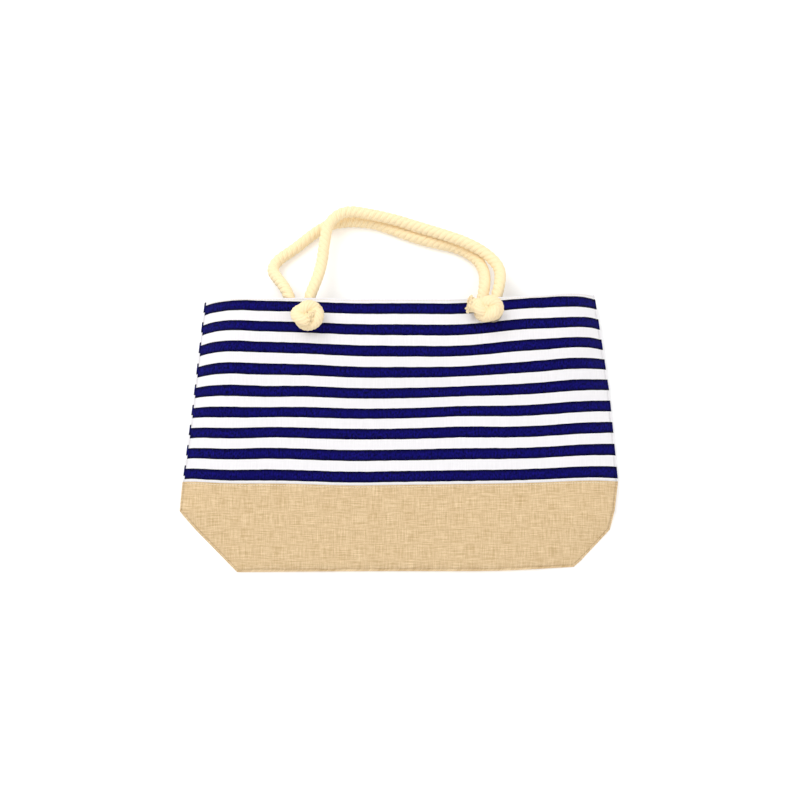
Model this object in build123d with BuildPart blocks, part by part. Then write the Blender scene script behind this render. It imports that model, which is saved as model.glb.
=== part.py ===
"""Striped canvas beach bag with rope handles, lying flat on its back.

The bag is empty and folded for storage: its box bottom is turned up behind it, and its mouth
rests on the knots of the back handle. +X runs across the bag, +Y runs from the bottom edge to
the mouth, and +Z points up from the surface that it lies on. Millimetres.
"""
from build123d import *
import math
import os

os.makedirs("parts", exist_ok=True)

# ---- Driving dimensions ----
Y_BOTTOM = -156.5  # folded bottom edge
Y_MOUTH = 156.5  # hem at the mouth
Y_JUTE = -59.0  # top of the jute band
Y_HEM = 112.0  # lower edge of the hem facing
Y_SAG = 25.0  # where the back wall leaves the floor
BOTTOM_DEPTH = 132.0  # front to back, when the bag stands open
Y_CORNER = Y_BOTTOM + BOTTOM_DEPTH / 2
Y_FLAP = Y_BOTTOM + BOTTOM_DEPTH

CLOTH = 1.5  # outer cloth with its backing
LINING = 0.5
LINING_GAP = 0.1
BODY_GAP = 0.3  # between pieces that move apart
EDGE_GAP = 0.8  # between the front wall and the side seams, so that it swings clear
SEAM_WIDTH = 2.0
MARGIN = 40.0  # sloping margin beside each side seam
LINING_INSET = 10.0
FACING_INSET = MARGIN + 5.0

ROPE_DIAMETER = 14.0
ROPE_Z = 38.2  # rope axis inside the mouth
EYELET_BEND = 8.0  # radius of the rope's turn into an eyelet
EYELET_HOLE = 8.0
EYELET_BARREL = 8.7
EYELET_FLANGE = 10.2
EYELET_SHEET = 0.7
EYELET_Y = 134.0
FRONT_EYELET_X = {"left": -107.0, "right": 107.0}
BACK_EYELET_X = {"left": -124.0, "right": 92.0}

BACK_Z = 28.0  # underside of the back wall at the mouth
FRONT_Z = 47.1  # underside of the front wall at the mouth
FRONT_FACE_Z = FRONT_Z + CLOTH

KNOT_RADIUS = 19.0
KNOT_FOOT = 13.5
KNOT_CROWN = 11.0
FRONT_KNOT_HEIGHT = 28.5
FRONT_KNOTS = {"left": (-105.0, 127.0), "right": (101.0, 136.5)}
BACK_KNOTS = {"left": (-122.0, 132.0), "right": (91.5, 134.0)}

SNAP_RADIUS = 9.0
SNAP_PLATE = 1.4
SNAP_NUB = 4.0
SNAP_NUB_HEIGHT = 1.6

POCKET_Y = (38.0, 104.0)
POCKET_X = (-80.0, 80.0)
POCKET_BINDING = 5.0

# Half of the outline on each side, as (y, x), from the bottom edge to the mouth
LEFT_SIDE = ((Y_BOTTOM, -185.0), (Y_CORNER, -250.0), (Y_JUTE, -248.3), (Y_MOUTH, -231.0))
RIGHT_SIDE = (
    (Y_BOTTOM, 196.0),
    (-149.0, 204.0),
    (-109.0, 238.0),
    (Y_CORNER, 247.5),
    (Y_JUTE, 250.0),
    (Y_MOUTH, 232.5),
)

# Heights of each wall's underside, as (y, height in the middle, height at the side seams)
FRONT_BASE_RISE = (
    (Y_BOTTOM, 1.7, 1.6),
    (-153.0, 7.0, 1.6),
    (-147.0, 10.0, 1.6),
    (-109.0, 16.0, 2.4),
    (Y_CORNER, 18.0, 8.1),
    (Y_JUTE, 21.5, 8.1),
)
FRONT_RISE = (
    (Y_JUTE + BODY_GAP, 21.5, 8.1),
    (Y_SAG, 28.5, 8.1),
    (Y_HEM, FRONT_Z, 12.8),
    (Y_MOUTH, FRONT_Z, 14.3),
)
BACK_RISE = (
    (Y_JUTE, 5.8, 5.9),
    (Y_FLAP, 5.8, 5.9),
    (0.0, 0.0, 5.8),
    (Y_SAG, 0.0, 5.8),
    (Y_HEM, BACK_Z, 10.5),
    (Y_MOUTH, BACK_Z, 12.0),
)

# Handle routes from the right eyelet to the left one, past the mouth and back
FRONT_ROUTE = (
    (107.0, EYELET_Y, FRONT_FACE_Z + EYELET_SHEET),
    (107.0, EYELET_Y, ROPE_Z),
    (111.0, 155.0, 38.0),
    (117.0, 176.0, 36.5),
    (118.5, 199.0, 26.5),
    (103.0, 218.5, 23.6),
    (78.0, 233.5, 22.6),
    (50.0, 244.5, 20.0),
    (22.0, 254.5, 17.8),
    (-6.0, 263.0, 20.0),
    (-34.0, 268.5, 23.0),
    (-66.0, 273.0, 25.5),
    (-86.0, 257.0, 25.0),
    (-90.0, 231.0, 25.5),
    (-92.0, 205.0, 29.0),
    (-97.0, 181.0, 36.5),
    (-106.0, 158.0, 38.0),
    (-107.0, EYELET_Y, ROPE_Z),
    (-107.0, EYELET_Y, FRONT_FACE_Z + EYELET_SHEET),
)
BACK_ROUTE = (
    (92.0, EYELET_Y, BACK_Z - EYELET_SHEET),
    (92.0, EYELET_Y, ROPE_Z),
    (95.5, 155.0, 38.0),
    (99.5, 176.0, 35.0),
    (100.0, 199.0, 19.0),
    (90.0, 220.0, 8.5),
    (67.0, 233.0, 7.1),
    (41.0, 238.5, 7.1),
    (15.0, 246.0, 7.1),
    (-10.0, 256.0, 7.1),
    (-34.0, 264.5, 7.1),
    (-62.0, 266.5, 7.1),
    (-87.0, 262.0, 7.1),
    (-107.0, 248.0, 7.1),
    (-127.0, 230.0, 7.1),
    (-148.0, 215.0, 8.0),
    (-152.5, 199.5, 15.0),
    (-144.5, 186.0, 26.0),
    (-134.5, 171.0, 35.0),
    (-127.0, 154.0, 38.0),
    (-124.0, EYELET_Y, ROPE_Z),
    (-124.0, EYELET_Y, BACK_Z - EYELET_SHEET),
)
ARC_SHARE = 0.45


# ---- Helpers ----
def level(table, y, column=1):
    """Value of a (y, value, ...) table at y, on the straight line between its rows."""
    for low, high in zip(table, table[1:]):
        if low[0] <= y <= high[0]:
            return low[column] + (high[column] - low[column]) * (y - low[0]) / (high[0] - low[0])
    raise ValueError(f"{y} is outside the table")


def cross_section(y, outline):
    """Closed outline of (x, z) points in the plane across the bag at y."""
    with BuildSketch(Plane.XZ.offset(-y)) as sketch:
        with BuildLine():
            Polyline(*outline, close=True)
        make_face()
    return sketch.sketch


def wall_section(y, middle, edge, thickness, seam, inset=0.0):
    """Section of a wall: flat in the middle, sloping in the margins beside the side seams."""
    left = level(LEFT_SIDE, y) + seam
    right = level(RIGHT_SIDE, y) - seam
    rim = edge + (middle - edge) * inset / MARGIN
    lower = [(left + inset, rim), (left + MARGIN, middle), (right - MARGIN, middle), (right - inset, rim)]
    upper = [(x, z + thickness) for x, z in reversed(lower)]
    return cross_section(y, lower + upper)


def wall_sections(rise, seam):
    """Sections of an outer wall through every row of its table of heights."""
    return [wall_section(y, middle, edge, CLOTH, seam) for y, middle, edge in rise]


def lining_sections(rise, stations, lift, seam):
    """Sections of a lining that follows a wall, lift above the wall's underside."""
    return [
        wall_section(y, level(rise, y) + lift, level(rise, y, 2) + lift, LINING, seam, LINING_INSET)
        for y in stations
    ]


def seam_sections(side, inward):
    """Sections of the strip that closes a side, from the base corner to the mouth."""
    sections = []
    for y in (Y_CORNER, Y_JUTE, Y_SAG, Y_HEM, Y_MOUTH):
        outer = level(side, y)
        inner = outer + inward * SEAM_WIDTH
        low = level(BACK_RISE, y, 2) if y >= Y_JUTE else BACK_RISE[0][2]
        high = low + 2 * CLOTH + EDGE_GAP
        sections.append(cross_section(y, [(outer, low), (inner, low), (inner, high), (outer, high)]))
    return sections


def bend_radii(route):
    """Largest arc that each corner's two runs allow; the turn into an eyelet has its own."""
    radii = []
    for before, here, after in zip(route, route[1:], route[2:]):
        arriving = Vector(*here) - Vector(*before)
        leaving = Vector(*after) - Vector(*here)
        turn = math.radians(arriving.get_angle(leaving))
        radii.append(ARC_SHARE * min(arriving.length, leaving.length) / math.tan(turn / 2))
    radii[0] = EYELET_BEND
    radii[-1] = EYELET_BEND
    return radii


def rope(route):
    """Rope from one eyelet to the other, as straight runs joined by tangent arcs."""
    with BuildPart() as tube:
        with BuildLine() as path:
            FilletPolyline(*route, radius=bend_radii(route))
        with BuildSketch(Plane(origin=path.line @ 0, z_dir=path.line % 0)):
            Circle(ROPE_DIAMETER / 2)
        sweep()
    length = path.wire().length
    expected = math.pi * ROPE_DIAMETER**2 / 4 * length
    print("rope length", round(length, 1), "volume", round(tube.part.volume / expected, 4))
    print("  radii", [round(radius, 1) for radius in bend_radii(route)])
    return tube.part


def knot_profile(base, height):
    """Half section of a tight round knot, for a revolve about Z."""
    with BuildSketch(Plane.XZ) as sketch:
        with BuildLine():
            Line((0, base), (KNOT_FOOT, base))
            ThreePointArc((KNOT_FOOT, base), (KNOT_RADIUS, base + height / 2), (KNOT_CROWN, base + height))
            Polyline((KNOT_CROWN, base + height), (0, base + height), (0, base))
        make_face()
    return sketch.sketch


def finish(part, name):
    """Label a piece and write it as its own STEP file."""
    part.label = name
    export_step(part, f"parts/{name}.step")


# ---- Striped walls ----
with BuildPart() as front_stripe_panel:
    loft(wall_sections(FRONT_RISE, SEAM_WIDTH + EDGE_GAP), ruled=True)
    with BuildSketch(Plane.XY):
        with Locations(*[(x, EYELET_Y) for x in FRONT_EYELET_X.values()]):
            Circle(EYELET_BARREL)
    extrude(amount=2 * FRONT_Z, mode=Mode.SUBTRACT)
finish(front_stripe_panel.part, "front_stripe_panel")

with BuildPart() as back_stripe_panel:
    loft(wall_sections(BACK_RISE, SEAM_WIDTH), ruled=True)
    with BuildSketch(Plane.XY):
        with Locations(*[(x, EYELET_Y) for x in BACK_EYELET_X.values()]):
            Circle(EYELET_BARREL)
    extrude(amount=2 * FRONT_Z, mode=Mode.SUBTRACT)
finish(back_stripe_panel.part, "back_stripe_panel")

# ---- Jute base, with its bottom turned up behind ----
with BuildPart() as base_front_panel:
    loft(wall_sections(FRONT_BASE_RISE, SEAM_WIDTH), ruled=True)
finish(base_front_panel.part, "base_front_panel")

FLAP_OUTLINE = (
    (LEFT_SIDE[0][1], Y_BOTTOM),
    (RIGHT_SIDE[0][1], Y_BOTTOM),
    (RIGHT_SIDE[1][1], RIGHT_SIDE[1][0]),
    (RIGHT_SIDE[2][1], RIGHT_SIDE[2][0]),
    (RIGHT_SIDE[3][1], Y_CORNER),
    (-LEFT_SIDE[0][1], Y_FLAP),
    (LEFT_SIDE[0][1], Y_FLAP),
    (LEFT_SIDE[1][1], Y_CORNER),
)
with BuildPart() as base_bottom_panel:
    with BuildSketch(Plane.XY):
        with BuildLine():
            Polyline(*FLAP_OUTLINE, close=True)
        make_face()
    extrude(amount=CLOTH)
finish(base_bottom_panel.part, "base_bottom_panel")

STRIP_Z = 2.9
BACK_BASE_Z = BACK_RISE[0][1]
with BuildPart() as base_back_panel:
    with BuildSketch(Plane.YZ):
        with BuildLine():
            Polyline(
                (Y_FLAP, CLOTH),
                (Y_FLAP, STRIP_Z + CLOTH),
                (Y_CORNER + CLOTH, STRIP_Z + CLOTH),
                (Y_CORNER + CLOTH, BACK_BASE_Z),
                (Y_JUTE, BACK_BASE_Z),
                (Y_JUTE, BACK_BASE_Z + CLOTH),
                (Y_CORNER, BACK_BASE_Z + CLOTH),
                (Y_CORNER, STRIP_Z),
                (Y_FLAP - CLOTH, STRIP_Z),
                (Y_FLAP - CLOTH, CLOTH),
                close=True,
            )
        make_face()
    extrude(amount=-LEFT_SIDE[0][1], both=True)
    with BuildSketch(Plane.XY.offset(BACK_BASE_Z)):
        with BuildLine():
            Polyline(
                (LEFT_SIDE[1][1] + SEAM_WIDTH, Y_CORNER),
                (RIGHT_SIDE[3][1] - SEAM_WIDTH, Y_CORNER),
                (RIGHT_SIDE[4][1] - SEAM_WIDTH, Y_JUTE),
                (LEFT_SIDE[2][1] + SEAM_WIDTH, Y_JUTE),
                close=True,
            )
        make_face()
    extrude(amount=CLOTH)
finish(base_back_panel.part, "base_back_panel")

# ---- Lining ----
LINING_DROP = LINING + LINING_GAP
with BuildPart() as front_lining:
    stations = (Y_JUTE + BODY_GAP, Y_SAG, Y_HEM)
    loft(lining_sections(FRONT_RISE, stations, -LINING_DROP, SEAM_WIDTH + EDGE_GAP), ruled=True)
finish(front_lining.part, "front_lining")

with BuildPart() as back_lining:
    stations = (Y_JUTE, Y_FLAP, 0.0, Y_SAG, Y_HEM)
    loft(lining_sections(BACK_RISE, stations, CLOTH + LINING_GAP, SEAM_WIDTH), ruled=True)
finish(back_lining.part, "back_lining")

with BuildPart() as base_front_lining:
    stations = (-147.0, -109.0, Y_CORNER, Y_JUTE)
    loft(lining_sections(FRONT_BASE_RISE, stations, -LINING_DROP, SEAM_WIDTH), ruled=True)
finish(base_front_lining.part, "base_front_lining")

with BuildPart() as base_bottom_lining:
    with BuildSketch(Plane.XY.offset(CLOTH + LINING_GAP)):
        with BuildLine():
            Polyline(*FLAP_OUTLINE, close=True)
        make_face()
        offset(amount=-LINING_INSET)
    extrude(amount=LINING)
finish(base_bottom_lining.part, "base_bottom_lining")

# ---- Hem facings inside the mouth ----
def facing_outline():
    """Plan of a hem facing, clear of the two sloping margins."""
    return (
        (level(LEFT_SIDE, Y_HEM) + FACING_INSET, Y_HEM),
        (level(RIGHT_SIDE, Y_HEM) - FACING_INSET, Y_HEM),
        (level(RIGHT_SIDE, Y_MOUTH) - FACING_INSET, Y_MOUTH),
        (level(LEFT_SIDE, Y_MOUTH) + FACING_INSET, Y_MOUTH),
    )


with BuildPart() as front_hem_facing:
    with BuildSketch(Plane.XY.offset(FRONT_Z - EYELET_SHEET)):
        with BuildLine():
            Polyline(*facing_outline(), close=True)
        make_face()
        with Locations(*[(x, EYELET_Y) for x in FRONT_EYELET_X.values()]):
            Circle(EYELET_BARREL, mode=Mode.SUBTRACT)
    extrude(amount=EYELET_SHEET)
finish(front_hem_facing.part, "front_hem_facing")

with BuildPart() as back_hem_facing:
    with BuildSketch(Plane.XY.offset(BACK_Z + CLOTH)):
        with BuildLine():
            Polyline(*facing_outline(), close=True)
        make_face()
        with Locations(*[(x, EYELET_Y) for x in BACK_EYELET_X.values()]):
            Circle(EYELET_BARREL, mode=Mode.SUBTRACT)
    extrude(amount=EYELET_SHEET)
finish(back_hem_facing.part, "back_hem_facing")

# ---- Side seams ----
with BuildPart() as left_side_seam:
    loft(seam_sections(LEFT_SIDE, 1), ruled=True)
finish(left_side_seam.part, "left_side_seam")

with BuildPart() as right_side_seam:
    loft(seam_sections(RIGHT_SIDE, -1), ruled=True)
finish(right_side_seam.part, "right_side_seam")

# ---- Eyelets: a flange outside with its barrel, and a washer inside ----
STACK = CLOTH + EYELET_SHEET
for wall, centres, face, inward in (
    ("front", FRONT_EYELET_X, FRONT_FACE_Z, -1),
    ("back", BACK_EYELET_X, BACK_Z, 1),
):
    for side, x in centres.items():
        with BuildPart() as eyelet:
            with BuildSketch(Plane(origin=(x, EYELET_Y, face), z_dir=(0, 0, -inward))):
                Circle(EYELET_FLANGE)
                Circle(EYELET_HOLE, mode=Mode.SUBTRACT)
            extrude(amount=EYELET_SHEET)
            with BuildSketch(Plane(origin=(x, EYELET_Y, face), z_dir=(0, 0, inward))):
                Circle(EYELET_BARREL)
                Circle(EYELET_HOLE, mode=Mode.SUBTRACT)
            extrude(amount=STACK + EYELET_SHEET)
        finish(eyelet.part, f"{wall}_{side}_eyelet")

        with BuildPart() as washer:
            with BuildSketch(Plane(origin=(x, EYELET_Y, face + inward * STACK), z_dir=(0, 0, inward))):
                Circle(EYELET_FLANGE)
                Circle(EYELET_BARREL, mode=Mode.SUBTRACT)
            extrude(amount=EYELET_SHEET)
        finish(washer.part, f"{wall}_{side}_washer")

# ---- Knots outside the walls ----
for wall, centres, base, height in (
    ("front", FRONT_KNOTS, FRONT_FACE_Z + EYELET_SHEET, FRONT_KNOT_HEIGHT),
    ("back", BACK_KNOTS, 0.0, BACK_Z - EYELET_SHEET),
):
    for side, (x, y) in centres.items():
        with BuildPart() as knot:
            revolve(Pos(x, y, 0) * knot_profile(base, height), axis=Axis((x, y, 0), (0, 0, 1)))
        finish(knot.part, f"{wall}_{side}_knot")

# ---- Rope handles, each cut where it leaves the mouth ----
for wall, route in (("front", FRONT_ROUTE), ("back", BACK_ROUTE)):
    whole = rope(route)
    inside, outside = Plane.XZ.offset(-Y_MOUTH), Plane.XZ.offset(-Y_MOUTH - BODY_GAP)

    with BuildPart() as handle:
        add(whole)
        split(bisect_by=outside, keep=Keep.BOTTOM)
    finish(handle.part, f"{wall}_handle_rope")

    with BuildPart() as ends:
        add(whole)
        split(bisect_by=inside, keep=Keep.TOP)
    for side, solid in zip(("left", "right"), ends.solids().sort_by(Axis.X)):
        finish(solid, f"{wall}_{side}_rope_end")

# ---- Magnetic snap, in line with the eyelets ----
SNAP_STUD_Z = BACK_Z + STACK
SNAP_SOCKET_Z = FRONT_Z - EYELET_SHEET
with BuildPart() as snap_stud:
    with BuildSketch(Plane.XY.offset(SNAP_STUD_Z)):
        with Locations((0, EYELET_Y)):
            Circle(SNAP_RADIUS)
    extrude(amount=SNAP_PLATE)
    with BuildSketch(Plane.XY.offset(SNAP_STUD_Z + SNAP_PLATE)):
        with Locations((0, EYELET_Y)):
            Circle(SNAP_NUB)
    extrude(amount=SNAP_NUB_HEIGHT)
finish(snap_stud.part, "snap_stud")

with BuildPart() as snap_socket:
    with BuildSketch(Plane.XY.offset(SNAP_SOCKET_Z)):
        with Locations((0, EYELET_Y)):
            Circle(SNAP_RADIUS)
    extrude(amount=-(SNAP_PLATE + SNAP_NUB_HEIGHT))
    with BuildSketch(Plane.XY.offset(SNAP_SOCKET_Z - SNAP_PLATE)):
        with Locations((0, EYELET_Y)):
            Circle(SNAP_NUB + BODY_GAP)
    extrude(amount=-SNAP_NUB_HEIGHT, mode=Mode.SUBTRACT)
finish(snap_socket.part, "snap_socket")

# ---- Slip pocket on the back lining ----
POCKET_LIFT = CLOTH + LINING + 2 * LINING_GAP


def pocket_profile(y_start, y_end, thickness):
    """Sloping strip in the Y-Z plane that lies on the back lining."""
    low = level(BACK_RISE, y_start) + POCKET_LIFT
    high = level(BACK_RISE, y_end) + POCKET_LIFT
    return ((y_start, low), (y_end, high), (y_end, high + thickness), (y_start, low + thickness))


with BuildPart() as inner_pocket:
    with BuildSketch(Plane.YZ.offset(POCKET_X[0])):
        with BuildLine():
            Polyline(*pocket_profile(*POCKET_Y, LINING), close=True)
        make_face()
    extrude(amount=POCKET_X[1] - POCKET_X[0])
finish(inner_pocket.part, "inner_pocket")

with BuildPart() as pocket_binding:
    with BuildSketch(Plane.YZ.offset(POCKET_X[0])):
        with BuildLine():
            Polyline(*pocket_profile(POCKET_Y[1], POCKET_Y[1] + POCKET_BINDING, 2 * LINING), close=True)
        make_face()
    extrude(amount=POCKET_X[1] - POCKET_X[0])
finish(pocket_binding.part, "pocket_binding")
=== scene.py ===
"""Striped canvas beach bag with knotted rope handles, lying flat on its back.

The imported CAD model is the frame. The hardware keeps its CAD shapes and gets its metal here;
every cloth and rope piece is built here over its plain CAD solid. +X runs across the bag, +Y
towards the mouth and +Z up from the floor, in metres.
"""
import math
import random

import bpy
import numpy as np
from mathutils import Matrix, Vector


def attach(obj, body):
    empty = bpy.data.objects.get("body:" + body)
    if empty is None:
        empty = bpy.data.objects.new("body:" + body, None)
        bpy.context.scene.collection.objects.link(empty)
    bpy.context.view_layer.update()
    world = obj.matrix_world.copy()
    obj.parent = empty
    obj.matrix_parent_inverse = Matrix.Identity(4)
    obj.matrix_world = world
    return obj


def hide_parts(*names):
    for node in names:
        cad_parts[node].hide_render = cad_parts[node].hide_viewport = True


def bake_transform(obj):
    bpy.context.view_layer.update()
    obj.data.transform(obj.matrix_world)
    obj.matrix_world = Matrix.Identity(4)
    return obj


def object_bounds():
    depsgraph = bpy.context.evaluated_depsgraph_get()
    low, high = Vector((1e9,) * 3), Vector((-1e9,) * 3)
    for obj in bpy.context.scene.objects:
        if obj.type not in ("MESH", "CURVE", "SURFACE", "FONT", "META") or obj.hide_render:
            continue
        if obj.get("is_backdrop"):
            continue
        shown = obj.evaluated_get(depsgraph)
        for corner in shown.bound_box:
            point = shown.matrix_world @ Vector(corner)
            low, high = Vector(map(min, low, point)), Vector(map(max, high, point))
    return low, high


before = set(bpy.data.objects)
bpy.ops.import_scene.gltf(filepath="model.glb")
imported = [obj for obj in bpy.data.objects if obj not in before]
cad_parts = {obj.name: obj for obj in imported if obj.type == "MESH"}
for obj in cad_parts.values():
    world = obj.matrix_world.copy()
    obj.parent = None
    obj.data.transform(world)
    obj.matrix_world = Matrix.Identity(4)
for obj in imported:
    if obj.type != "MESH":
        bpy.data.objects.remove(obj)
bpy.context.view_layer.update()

# ---- Dimensions: the levels along the bag are the CAD model's ----
Y_BOTTOM = -0.1565  # folded bottom edge
Y_CORNER = -0.0905  # where the side seams turn in behind
Y_JUTE = -0.059  # top of the jute band
Y_FLAP = -0.0245  # upper edge of the bottom panel, turned up behind
Y_HEM = 0.112  # lower edge of the hem facing
Y_MOUTH = 0.1565

CLOTH = 0.0012
LINING = 0.0005
EDGE_INSET = 0.0015  # from the outline to where the edge roll begins
EDGE_BULGE = 0.0021  # from there out to the middle of the roll
EDGE_CLOTH_STEP = 0.0006  # cloth between two lines along an edge roll
HEM_RADIUS = 0.0011

# Outline from the left end of the mouth, round the bottom, to the right end
LEFT_SIDE = ((-0.2305, Y_MOUTH), (-0.2483, Y_JUTE), (-0.250, Y_CORNER), (-0.1835, Y_BOTTOM))
RIGHT_SIDE = (
    (0.196, Y_BOTTOM),
    (0.204, -0.149),
    (0.2380, -0.1095),
    (0.2435, Y_CORNER),
    (0.2490, Y_JUTE),
    (0.2435, 0.040),
    (0.2300, Y_MOUTH),
)
# Numbers of the outline's corners, counted along both sides
LEFT_MOUTH, LEFT_JUTE, LEFT_CORNER, LEFT_BOTTOM = range(len(LEFT_SIDE))
RIGHT_BOTTOM, RIGHT_CORNER, RIGHT_JUTE, RIGHT_MOUTH = 4, 7, 8, 10
FLAP_HALF = 0.185  # half the bottom panel's upper edge

# Outer surface of each wall, as (y, height in the middle, height at the sides)
FRONT_HEIGHTS = (
    (Y_BOTTOM, 0.0032, 0.0031),
    (-0.153, 0.0085, 0.0031),
    (-0.147, 0.0115, 0.0031),
    (-0.109, 0.0175, 0.0039),
    (Y_CORNER, 0.0195, 0.0096),
    (Y_JUTE, 0.023, 0.0096),
    (0.025, 0.030, 0.0096),
    (Y_HEM, 0.0475, 0.0143),
    (Y_MOUTH, 0.0486, 0.0158),
)
BACK_HEIGHTS = (
    (Y_CORNER, 0.0058, 0.0059),
    (Y_FLAP, 0.0058, 0.0059),
    (0.004, 0.0012, 0.0058),
    (0.030, 0.0012, 0.0058),
    (Y_HEM, 0.0275, 0.0105),
    (Y_MOUTH, 0.028, 0.012),
)
MARGIN = 0.055  # over which a wall comes down to its side seam

# How far the cloth has crept towards the mouth, as (x, reach, ((y, creep), ...))
MIDDLE_CREEP = (
    (Y_BOTTOM, 0.0012),
    (-0.109, 0.0),
    (Y_JUTE, -0.0018),
    (0.0, -0.0016),
    (0.1, -0.0056),
    (0.15, -0.0036),
)
CREEP = (
    (-0.250, 0.045, ((-0.109, 0.0), (Y_JUTE, 0.005), (0.060, 0.003), (Y_MOUTH, 0.0055))),
    (0.0, 0.130, MIDDLE_CREEP),
    (0.270, 0.095, ((-0.109, 0.0), (Y_JUTE, 0.005), (Y_MOUTH, 0.0155))),
    (0.222, 0.080, ((Y_BOTTOM, 0.0068), (-0.130, 0.0035), (-0.100, 0.0))),
    (0.262, 0.030, ((Y_JUTE, 0.0), (0.0, 0.0036), (0.060, 0.0046), (0.115, 0.0))),
)
# Local pulls in the weave, as (x, y, reach, creep)
PULLS = (
    (0.070, 0.100, 0.045, -0.0018),
    (0.070, 0.015, 0.045, 0.0018),
    (-0.057, -0.050, 0.045, -0.0013),
    (-0.150, -0.010, 0.040, 0.0012),
    (-0.150, 0.042, 0.030, -0.0013),
    (-0.195, 0.010, 0.040, -0.0016),
    (-0.050, 0.050, 0.050, -0.0014),
    (-0.215, -0.045, 0.040, -0.0016),
    (-0.215, 0.110, 0.035, 0.0016),
    (0.190, 0.125, 0.034, -0.0024),
    (0.228, 0.125, 0.028, 0.0012),
    (0.142, 0.125, 0.034, 0.0014),
)
# Soft dents and rises of the front wall, as (x, y, reach, height)
DENTS = (
    (-0.110, 0.080, 0.050, 0.0012),
    (0.030, 0.045, 0.045, -0.0014),
    (0.110, 0.075, 0.045, 0.0012),
    (-0.060, -0.020, 0.050, 0.0010),
    (0.160, -0.010, 0.055, -0.0012),
    (-0.130, -0.110, 0.060, -0.0010),
    (0.080, -0.105, 0.070, 0.0009),
    (-0.055, 0.150, 0.032, -0.0022),
    (0.058, 0.150, 0.030, -0.0018),
)
DENT_MARGIN = 0.04  # in from a side seam, over which they begin
# Where the fold at the mouth dips away from the line of the stripes, as (x, reach, depth)
HEM_DIPS = ((-0.190, 0.070, 0.0026), (0.165, 0.055, 0.0024))

STRIPE_TOP = 0.151  # upper edge of the first navy stripe
STRIPE_PITCH = 0.0243
STRIPE_WIDTH = 0.0125
STRIPE_COUNT = 9
RIM_WIDTH = 0.0040  # over which the ink is deeper along a stripe's edges
STRIPE_WANDER = 0.0010  # how far a stripe's edge strays slowly along the bag
STRIPE_RAG = 0.0004  # and from thread to thread
BACK_STRIPE_SHIFT = 0.004  # the walls' stripes don't meet at the side seams

CANVAS_WEAVE = 0.0009  # from one thread to the next
JUTE_WEAVE = 0.00135
COTTON_WEAVE = 0.0006

# Hem facings and linings, as (inset from the side, depth below the wall's outer surface, thickness)
FACING_LAYER = (0.0435, 0.0022, 0.0007)
LINING_LAYER = (0.003, 0.0019, LINING)
LAYER_AREA_SHARE = 0.95  # of its width times its length, since its sides slope
FACING_TOP = Y_MOUTH - 0.003
LINING_TOP = Y_HEM + 0.004  # under the facing
LINING_BOTTOM = -0.147
FLAP_LINING_DEPTH = 0.0018
FLAP_LINING_INSET = 0.010
FLAP_RIPPLE = 0.00025
FLAP_CREEP_REACH = 0.04  # up from the bottom fold, over which the creep dies out behind

# Flat pieces that the cloths were cut from, as ((width, length), area)
WALL_CUT = ((0.5, 0.224), 0.108)
BASE_FRONT_CUT = ((0.5, 0.105), 0.0475)
SEAM_CUT = ((0.010, 0.25), 0.0016)
BASE_BOTTOM_CUT = ((0.5, 0.145), 0.062)
BASE_BACK_CUT = ((0.5, 0.102), 0.040)
FLAP_LINING_CUT = ((0.48, 0.112), 0.046)
POCKET_CUT = ((0.16, 0.066), None)

# Points of each grid, along the bag and across it
WALL_ROWS, WALL_COLUMNS = 76, 170
BASE_ROWS = 50
FLAP_ROWS, FLAP_COLUMNS = 46, 120
STRIP_COLUMNS = 100
LAYER_ROWS, LAYER_COLUMNS = 40, 130
POCKET_ROWS, POCKET_COLUMNS = 26, 60
LINE_POINTS = 300

# The strip behind the bottom panel, then the back's share of the jute band, as (y, height)
STRIP = (
    (Y_FLAP, 0.0010),
    (Y_FLAP + 0.0012, 0.0022),
    (Y_FLAP, 0.0036),
    (Y_CORNER + 0.0015, 0.0036),
    (Y_CORNER + 0.0003, 0.0051),
)
BACK_BAND = ((Y_CORNER + 0.0015, 0.0065), (Y_JUTE, 0.0065))
STRIP_CLOTH_STEP = 0.02  # cloth from one of these lines to the next

POCKET_LOW = 0.038
POCKET_HIGH = 0.104
POCKET_HALF = 0.080
POCKET_DEPTH = 0.0026
POCKET_GAPE = 0.0022
BINDING_MIDDLE = 0.0022  # past the pocket's upper edge
BINDING_WIDTH = 0.0052
BINDING_THICKNESS = 0.0016

STITCH_PITCH = 0.0034
STITCH_LENGTH = 0.0026
STITCH_RADIUS = 0.00028
STITCH_INSET = 0.0022  # below the seam or the hem
POCKET_STITCH_INSET = 0.002
SEAM_STITCHES = (-0.243, 0.244)  # ends of the rows of stitches
HEM_STITCHES = (-0.226, 0.228)

ROPE_DIAMETER = 0.014
ROPE_LAY = 0.0210  # length of one whole twist
STRAND_SHARE = 0.59  # a strand's radius, of the rope's
FRONT_ROPE_LENGTH = 0.437
BACK_ROPE_LENGTH = 0.465

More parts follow.
